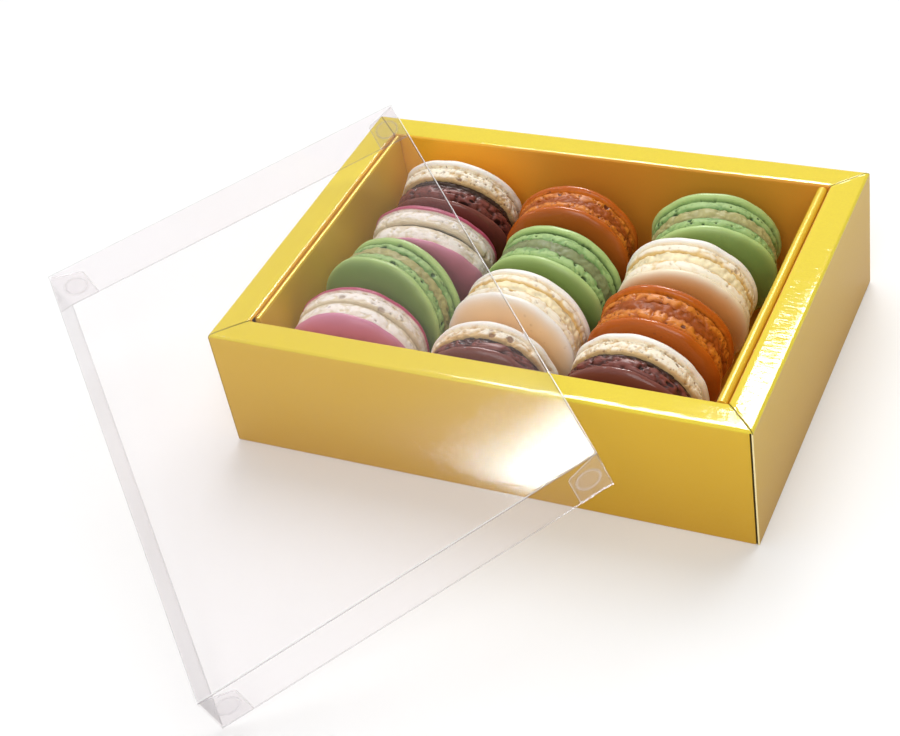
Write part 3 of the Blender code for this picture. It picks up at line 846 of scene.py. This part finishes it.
def shell_paint(name, look):
    """Baked almond shell: satin dome, paler ruffled foot and a few ground-nut specks. Painted shade in the
    pits, the waist groove, the foot's creases and its edge over the filling; the dome's edge and lip lighter,
    partly the shell's own colour and partly painted light.
    """
    paint = Paint(name)
    where = paint.place()
    cloud = paint.noise(where, 90.0, 3.0)
    fine = paint.noise(where, 1400.0, 3.0, 0.6)
    patch = paint.noise(where, 420.0, 2.0, 0.6)
    foot = paint.mark("foot")
    dome = paint.mix(paint.clamp((cloud - 0.35) * 0.6), look["dome"], tuple(0.82 * c for c in look["dome"]))
    # The dome's edge and lip lighter: partly the shell's own paler rim, partly painted light
    dome = paint.mix(paint.mark("crown"), dome, look["lip"])
    # Painted shade: the foot darker in its creases and at its edge over the filling
    crust = paint.mix(paint.step(paint.mark("level"), 0.55, 0.1), look["foot"], look["low"])
    crust = paint.mix(paint.step(patch, 0.5, 0.72) * look["patch"], crust, look["low"])
    colour = paint.mix(foot, dome, crust)
    # Painted shade in the pits and the waist groove
    colour = paint.mix(paint.step(paint.mark("pit"), 0.1, 0.9) * look["pit_shade"], colour, look["pit"])
    grains = paint.node("ShaderNodeTexVoronoi", {}, {"Vector": where, "Scale": 420.0}, "Distance")
    few = paint.step(paint.noise(where, 160.0, 1.0), 0.6, 0.68)
    speck = paint.step(grains, 0.3, 0.12) * few * look["specks"]
    colour = paint.mix(paint.clamp(speck), colour, look["speck"])
    height = fine * 0.4 + patch * 0.6
    values = {
        "Base Color": colour,
        "Roughness": paint.clamp(look["shine"] + foot * 0.25 + (fine - 0.5) * 0.1),
        "Specular IOR Level": 0.35,
        "Subsurface Weight": 0.1,
        "Subsurface Radius": (1.0, 0.7, 0.45),
        "Subsurface Scale": 1.0 * MM,
        "Normal": paint.bump(height, 0.12 * MM, 0.45),
    }
    return paint.finish(paint.surface(values))


def filling_paint(name, colour):
    """Soft buttery filling with darker random smears, and painted shade in its creases and beside the shells.
    """
    paint = Paint(name)
    where = paint.place()
    smear = paint.noise(where, 420.0, 3.0)
    # Painted shade in the creases and beside the shells; the smears are random tone
    crease = paint.step(paint.mark("level"), 0.7, 0.1) * 0.5
    shade = paint.clamp(crease + paint.clamp((smear - 0.45) * 0.8))
    tone = paint.mix(shade, colour, tuple(0.62 * c for c in colour))
    values = {
        "Base Color": tone,
        "Roughness": 0.5,
        "Specular IOR Level": 0.25,
        "Subsurface Weight": 0.12,
        "Subsurface Radius": (1.0, 0.7, 0.4),
        "Subsurface Scale": 1.2 * MM,
        "Normal": paint.bump(smear, 0.2 * MM, 0.4),
    }
    return paint.finish(paint.surface(values))


# Clear lid

LID_WIDTH = 130.5 * MM
LID_LENGTH = 181.6 * MM
LID_WALL = 16.0 * MM
LID_TWIST = 4.8 * MM
LID_CENTRE = Vector((-52.0, -72.1, 48.05)) * MM
LID_TURN = Euler([math.radians(angle) for angle in (7.0, -15.15, 42.1)])
# Glue tabs: length, fall of the upper edge, radius of its end, and distances from panel, corner and wall
TAB_LENGTH = 10.3 * MM
TAB_SLOPE = 3.2 * MM
TAB_ROUND = 2.0 * MM
TAB_DROP = 0.55 * MM
TAB_START = 0.45 * MM
TAB_GAP = 0.4 * MM
TAB_FACES = (0.03 * MM, 0.32 * MM)
TAB_LINE = 0.35 * MM
DOT_RADIUS = 3.7 * MM


def lid_twist(x, y):
    """Height that the sprung panel gains: minus the twist times both shares."""
    return -LID_TWIST * (x / (LID_WIDTH / 2)) * (y / (LID_LENGTH / 2))


def lean(points):
    """Carry points from the lid's own axes to where it leans."""
    turn = np.array(LID_TURN.to_matrix())
    return points @ turn.T + np.array(LID_CENTRE)


def lid_ring(inset, drop, count=30):
    """Ring round the lid, set in and lowered from its twisted panel."""
    share = np.linspace(-1, 1, count, endpoint=False)
    ring = rectangle(share, share, LID_WIDTH / 2 - inset, LID_LENGTH / 2 - inset)
    return np.column_stack([ring, lid_twist(*ring.T) - drop])


def fold_marks(rings, fold_rows):
    """Strength and brightness of the fold lines: a painted highlight on the right, painted shade and a
    painted highlight in front, weaker painted shade elsewhere.
    """
    strength = np.zeros(rings.shape[:2])
    fold_highlight = np.zeros(rings.shape[:2])
    x, y = rings[..., 0] / (LID_WIDTH / 2), rings[..., 1] / (LID_LENGTH / 2)
    right = (x > 0.985) & (np.abs(y) < 0.999)
    front = (y < -0.985) & ~right
    for place, row in enumerate(fold_rows):
        strength[row] = np.where(right[row] | front[row], 1.0, 0.45)
        fold_highlight[row] = np.where(right[row], 1.0, np.where(front[row] & (place < len(fold_rows) / 2), 1.0, 0.0))
    return strength, fold_highlight


def lid_mesh(settings):
    """Folded sheet: rings from the panel's middle over a round fold down the wall, and back inside."""
    sheet, fold = settings.sheet, settings.fold
    quarter = np.linspace(0, math.pi / 2, 7)
    innermost = LID_WIDTH / 2 * 0.98
    near = np.array([1.6, 0.9, 0.4, 0.2, 0.0]) * MM + fold
    panel = np.concatenate([np.linspace(innermost, 3.5 * MM, 20), near])
    low = [LID_WALL - 0.2 * MM, LID_WALL]
    down = np.concatenate([near[::-1][1:], np.linspace(3.5 * MM, LID_WALL - 0.5 * MM, 7), low])
    inset = np.concatenate([panel, fold * (1 - np.sin(quarter[1:])), np.zeros(len(down))])
    drop = np.concatenate([np.zeros(len(panel)), fold * (1 - np.cos(quarter[1:])), down])
    edge = len(inset)

    # the inside, from the wall's lower edge back to the panel's middle
    bend, back = fold - sheet * 0.6, quarter[::-1][1:]
    inset = np.concatenate([
        inset, np.full(len(down), sheet), sheet + bend * (1 - np.sin(back)), panel[::-1] + sheet,
    ])
    drop = np.concatenate([
        drop, down[::-1], sheet + bend * (1 - np.cos(back)), np.full(len(panel), sheet),
    ])
    inset = np.minimum(inset, innermost)
    rows = np.array([lid_ring(*place) for place in zip(inset, drop)])
    strength, fold_highlight = fold_marks(rows, range(len(panel), len(panel) + 6))
    strength[edge - 1:edge + 1] = 0.5
    marks = {"fold": (strength, 0, 0), "fold_highlight": (fold_highlight, 0, 0)}
    return solid_mesh("clear_lid_sheet", lean(rows), marks, smooth_angle=50)


def tab_top(across):
    """Height of a glue tab's upper edge: level, then sloping, then rounded off at its free end."""
    slope = TAB_SLOPE * np.clip(across / (TAB_LENGTH - TAB_ROUND), 0, 1)
    bend = np.clip((across - (TAB_LENGTH - TAB_ROUND)) / TAB_ROUND, 0, 1)
    return -TAB_DROP - slope - TAB_ROUND * (1 - np.sqrt(1 - bend ** 2))


def tab_mesh(name, sign_x, sign_y):
    """Thin slab of film inside a short wall, as a closed strip that is carried from the corner inwards.

    The marks follow the free edges and a round spot of glue.
    """
    level = np.linspace(0, TAB_LENGTH - TAB_ROUND, 34)
    across = np.concatenate([level, TAB_LENGTH - TAB_ROUND * np.linspace(0.9, 0, 8) ** 1.5])
    share = np.concatenate([np.linspace(0, 0.96, 44), [0.975, 1.0]])
    top = tab_top(across)
    z = -LID_WALL + share * (top[:, None] + LID_WALL)
    z = np.concatenate([z, z[:, ::-1]], 1)
    away = across[:, None] + np.zeros_like(z)
    x = sign_x * (LID_WIDTH / 2 - TAB_START - away)
    y = sign_y * (LID_LENGTH / 2 - TAB_GAP - np.repeat(TAB_FACES, len(share))) + np.zeros_like(z)
    rows = np.stack([x, y, z + lid_twist(x, y)], -1)
    free = np.minimum(top[:, None] - z, TAB_LENGTH - away)
    edge = np.exp(-(free / TAB_LINE) ** 2)
    spot = np.hypot(away - TAB_LENGTH * 0.5, z + LID_WALL * 0.56) / DOT_RADIUS
    glue = np.exp(-((spot - 1) / 0.1) ** 2) * 0.8 + (spot < 1) * 0.25
    return solid_mesh(name, lean(rows), {"fold": (np.maximum(edge, glue), 0, 1)}, smooth_angle=30)


def film_paint(name, haze, line_strength, line_colour):
    """Clear glossy film with painted shade and painted highlights along its folds, more mirror-like by the
    fifth power of the slant.
    """
    paint = Paint(name)
    where = paint.place()
    wave = paint.noise(where, 14.0, 2.0)
    normal = paint.bump(wave, 0.6 * MM, 0.2)
    facing = paint.node("ShaderNodeLayerWeight", {}, {"Blend": 0.5}, "Facing")
    slant = facing ** 5.0 * 0.95 + 0.016
    fold = paint.mark("fold")
    # Painted light and shade along the folds: white as a painted highlight on the marked folds, the dark line
    # colour as painted shade on the rest
    line = paint.mix(paint.mark("fold_highlight"), line_colour, (1.0, 1.0, 1.0))
    tint = paint.mix(paint.clamp(fold * 3.0), (0.93, 0.92, 0.93), line)
    veil = paint.surface({"Base Color": tint, "Roughness": 0.3, "Specular IOR Level": 0.2})
    clear = paint.node("ShaderNodeBsdfTransparent", {}, {"Color": (0.993, 0.986, 0.990)})
    cover = paint.clamp(haze + fold * line_strength)
    milky = paint.node("ShaderNodeMixShader", {}, {0: cover, 1: clear, 2: veil})
    gloss = paint.node("ShaderNodeBsdfGlossy", {}, {"Roughness": 0.075, "Normal": normal})
    return paint.finish(paint.node("ShaderNodeMixShader", {}, {0: slant, 1: milky, 2: gloss}))


# Stage

def floor_mesh(size):
    """Flat square at the height that the object stands on."""
    half = size / 2
    corners = [(-half, -half, 0), (half, -half, 0), (half, half, 0), (-half, half, 0)]
    mesh = bpy.data.meshes.new("floor")
    mesh.from_pydata(corners, [], [(0, 1, 2, 3)])
    return mesh


def facing(place, aim, roll=0.0):
    """Rotation of a lamp or camera that looks from place to aim, rolled about the view."""
    level = (Vector(aim) - Vector(place)).to_track_quat("-Z", "Y")
    return (level @ Quaternion((0, 0, 1), roll)).to_euler()


def area_light(name, place, aim, size, power, colour=(1, 1, 1)):
    """Soft rectangular light at a place, facing an aim."""
    lamp = bpy.data.lights.new(name, "AREA")
    lamp.shape = "RECTANGLE"
    lamp.size, lamp.size_y = size
    lamp.energy = power
    lamp.color = colour
    item = bpy.data.objects.new(name, lamp)
    bpy.context.scene.collection.objects.link(item)
    item.location = place
    item.rotation_euler = facing(place, aim)
    return item


# Lights: name, place, aim, width and height
BOX_MIDDLE = (0, 0, 0.03)
KEY_LIGHT = ("key light", (0.0, 1.0, 1.4), BOX_MIDDLE, (1.5, 1.5))
FRONT_LIGHT = ("front fill", (0.45, -1.2, 1.25), BOX_MIDDLE, (1.1, 1.1))
# Small windows that only show as reflections: the same values, then power and colour
GLARES = (
    ("back window", (-0.12, 0.93, 1.14), BOX_MIDDLE, (0.38, 0.38), 13.0, (1, 1, 1)),
    ("upper window", (-0.42, 0.80, 1.22), BOX_MIDDLE, (0.34, 0.36), 8.5, (1, 1, 1)),
    ("lid window", (-0.874, 0.254, 1.191), (0.040, -0.093, 0.057), (0.17, 0.09), 2.4, (0.78, 0.92, 1.0)),
)


# Operators

class MakeTray(bpy.types.Operator):
    """Build the gold card tray and its two folded inner strips"""
    bl_idname = "macaron_box.make_tray"
    bl_label = "Card tray"

    def execute(self, context):
        settings = context.scene.macaron_tray
        card = gold_card("gold card", settings)
        add_piece("gold_tray", tray_mesh(settings), card, ["box_tray"])
        folded = gold_card("gold card folded strip", settings, plain=True)
        for node in ("left_inner_strip", "right_inner_strip"):
            add_piece(node + "_folded", strip_mesh(node, settings.strip_ripple), folded, [node])
        return {"FINISHED"}


class MakeShells(bpy.types.Operator):
    """Build the two shells of every macaron"""
    bl_idname = "macaron_box.make_shells"
    bl_label = "Macaron shells"

    def execute(self, context):
        settings = context.scene.macaron_shells
        looks = {kind: shell_look(kind) for kind in (*FLAVOURS, *VARIANTS)}
        paints = {kind: shell_paint(f"{kind} almond shell", look) for kind, (_, look) in looks.items()}
        for number, (back, _, front, foot, meet) in MACARONS.items():
            place = MacaronPlace(number)
            for part, kind, salt in (("back_shell", back, 0), ("front_shell", front, 500)):
                flavour, look = looks[kind]
                look = {**look, "foot_height": foot, "meet": meet}
                mesh = shell_mesh(place, part, look, settings, number * 31 + salt)
                node = f"{place.prefix}_{part}"
                add_piece(f"{node}_baked", mesh, paints[kind], [node])
        return {"FINISHED"}


class MakeFillings(bpy.types.Operator):
    """Build the filling of every macaron"""
    bl_idname = "macaron_box.make_fillings"
    bl_label = "Macaron fillings"

    def execute(self, context):
        settings = context.scene.macaron_shells
        paints = {kind: filling_paint(f"{kind} filling", srgb(*seen)) for kind, seen in FILLINGS.items()}
        for number, (_, filling, *_) in MACARONS.items():
            place = MacaronPlace(number)
            node = f"{place.prefix}_filling"
            mesh = filling_mesh(place, settings, number * 17 + 3)
            add_piece(f"{node}_cream", mesh, paints[filling], [node])
        return {"FINISHED"}


class MakeLid(bpy.types.Operator):
    """Build the clear folded lid with its glue tabs and glue spots"""
    bl_idname = "macaron_box.make_lid"
    bl_label = "Clear lid"

    def execute(self, context):
        settings = context.scene.macaron_lid
        film = film_paint("clear film", settings.haze, settings.line_strength, settings.line_colour)
        tab_film = film_paint(
            "clear film tab", settings.tab_haze, settings.tab_line_strength, settings.tab_line_colour,
        )
        add_piece("clear_lid_sheet", lid_mesh(settings), film, ["clear_lid"])
        for sign_x, hand in ((-1, "left"), (1, "right")):
            for sign_y, side in ((-1, "front"), (1, "back")):
                name = f"lid_tab_{side}_{hand}"
                add_piece(name, tab_mesh(name, sign_x, sign_y), tab_film)
        return {"FINISHED"}


class MakeStage(bpy.types.Operator):
    """Build the floor, the lights and the camera"""
    bl_idname = "macaron_box.make_stage"
    bl_label = "Floor, lights and camera"

    def execute(self, context):
        settings = context.scene.macaron_stage
        scene = context.scene
        paint = Paint("pale floor")
        where = paint.place()
        shade = paint.mix(paint.noise(where, 3.0, 2.0) * 0.04, settings.floor_colour, (0.8, 0.8, 0.8))
        values = {"Base Color": shade, "Roughness": 0.6, "Specular IOR Level": 0.2}
        material = paint.finish(paint.surface(values))
        floor = bpy.data.objects.new("floor", floor_mesh(settings.floor_size))
        scene.collection.objects.link(floor)
        floor.data.materials.append(material)

        area_light(*KEY_LIGHT, settings.key_power).visible_glossy = False
        area_light(*FRONT_LIGHT, settings.fill_power)
        for glare in GLARES:
            area_light(*glare).visible_diffuse = False

        scene.world = bpy.data.worlds.new("even sky")
        sky = Paint("even sky", scene.world)
        way = sky.node("ShaderNodeTexCoord", {}, {}, "Generated")
        dim = sky.step(sky.axis(way, "X"), 0.0, 0.95) * settings.right_dimming
        strength = (1.0 - dim) * settings.sky_strength
        sky.finish(sky.node("ShaderNodeBackground", {}, {"Strength": strength}))

        lens = bpy.data.cameras.new("camera")
        lens.sensor_width = SENSOR_WIDTH
        lens.sensor_fit = "HORIZONTAL"
        lens.lens = FOCAL_PIXELS * SENSOR_WIDTH / PICTURE_WIDTH
        lens.clip_start = 0.01
        camera = bpy.data.objects.new("camera", lens)
        scene.collection.objects.link(camera)
        camera.location = CAMERA_PLACE
        camera.rotation_euler = facing(CAMERA_PLACE, CAMERA_AIM, CAMERA_ROLL)
        scene.camera = camera
        scene.view_settings.view_transform = "Standard"
        return {"FINISHED"}


class MacaronPanel(bpy.types.Panel):
    """Lists every builder of the macaron box"""
    bl_idname = "VIEW3D_PT_macaron_box"
    bl_label = "Macaron box"
    bl_space_type = "VIEW_3D"
    bl_region_type = "UI"
    bl_category = "Macaron box"

    def draw(self, context):
        for maker in MAKERS:
            self.layout.operator(maker.bl_idname)


MAKERS = (MakeTray, MakeShells, MakeFillings, MakeLid, MakeStage)
GROUPS = {
    "macaron_tray": TraySettings,
    "macaron_shells": MacaronSettings,
    "macaron_lid": LidSettings,
    "macaron_stage": StageSettings,
}


def register():
    for kind in (*GROUPS.values(), *MAKERS, MacaronPanel):
        bpy.utils.register_class(kind)
    for name, kind in GROUPS.items():
        setattr(bpy.types.Scene, name, PointerProperty(type=kind))


def unregister():
    for name in GROUPS:
        delattr(bpy.types.Scene, name)
    for kind in reversed((*GROUPS.values(), *MAKERS, MacaronPanel)):
        bpy.utils.unregister_class(kind)


def main():
    register()
    bpy.ops.macaron_box.make_tray()
    bpy.ops.macaron_box.make_shells()
    bpy.ops.macaron_box.make_fillings()
    bpy.ops.macaron_box.make_lid()
    bpy.ops.macaron_box.make_stage()


if __name__ == "__main__":
    main()
